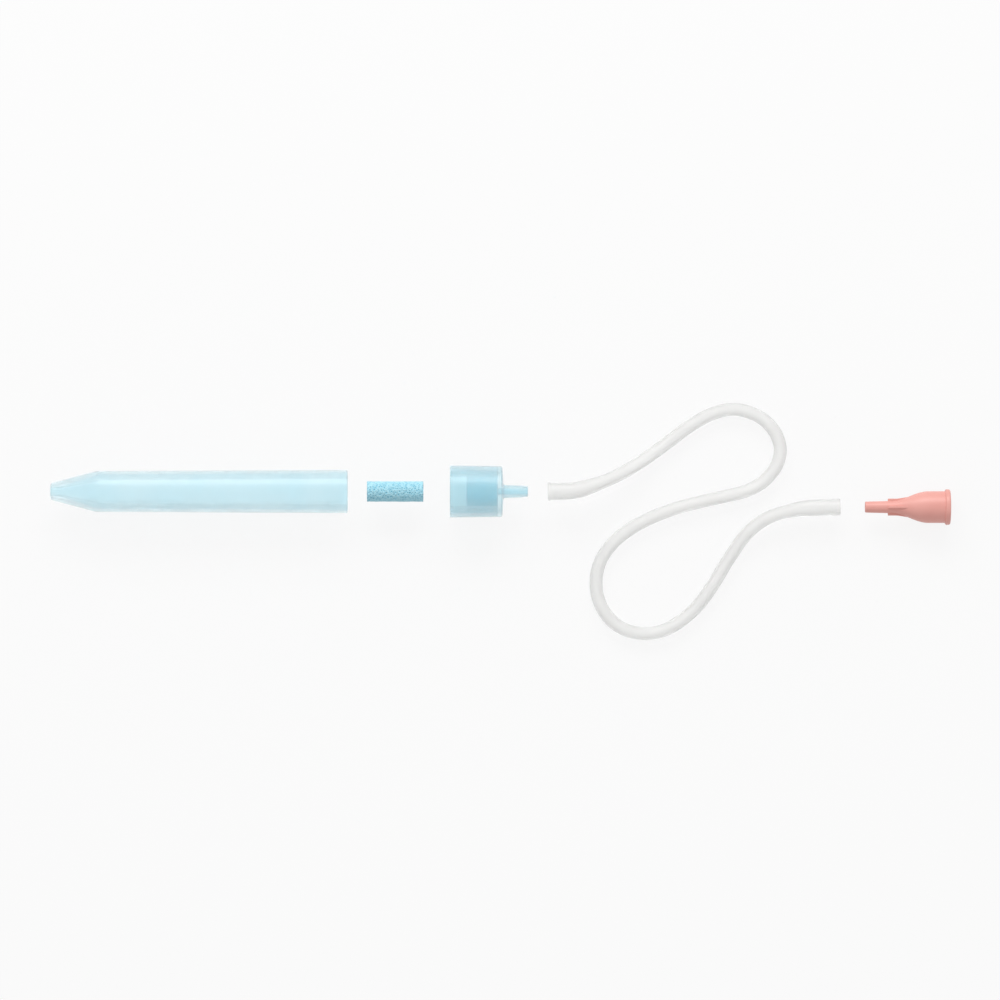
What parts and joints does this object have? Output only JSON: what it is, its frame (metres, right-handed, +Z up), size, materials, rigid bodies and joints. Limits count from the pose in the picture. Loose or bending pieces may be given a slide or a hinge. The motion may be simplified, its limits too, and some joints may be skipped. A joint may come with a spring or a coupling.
{
  "type": "nasal aspirator",
  "caption": "Mouth-suction nasal aspirator for a baby, laid out in a row: nozzled tube, foam filter, cap with spigot, flexible hose and mouthpiece.",
  "frame": {"origin": "on the table, under the middle of the box round all the pieces but the hose", "axes": "+X along the row, from the nozzle to the mouthpiece; +Y across the row on the table; +Z up from the table"},
  "size_m": [0.4502, 0.1189, 0.026],
  "materials": {
    "nasal_tube": "translucent pale blue moulding",
    "filter": "open-cell foam",
    "cap": "translucent pale blue moulding",
    "hose": "milky clear silicone",
    "mouthpiece": "satin"
  },
  "bodies": {
    "nasal_tube": {"nasal_tube": "nasal_tube"},
    "cap": {"cap": "cap"},
    "filter": {"filter": "filter"},
    "hose": {"hose": "hose"},
    "mouthpiece": {"mouthpiece": "mouthpiece"}
  },
  "joints": [
    {"name": "cap_onto_tube", "type": "slide", "parent": "nasal_tube", "child": "cap", "axis": [-1, 0, 0], "range_m": [0, 0.0603]},
    {"name": "filter_into_cap", "type": "slide", "parent": "cap", "child": "filter", "axis": [1, 0, 0], "range_m": [0, 0.037]},
    {"name": "hose_onto_spigot", "type": "slide", "parent": "cap", "child": "hose", "axis": [-1, 0, 0], "range_m": [0, 0.0213]},
    {"name": "mouthpiece_into_hose", "type": "slide", "parent": "hose", "child": "mouthpiece", "axis": [-1, 0, 0], "range_m": [0, 0.0237]}
  ]
}
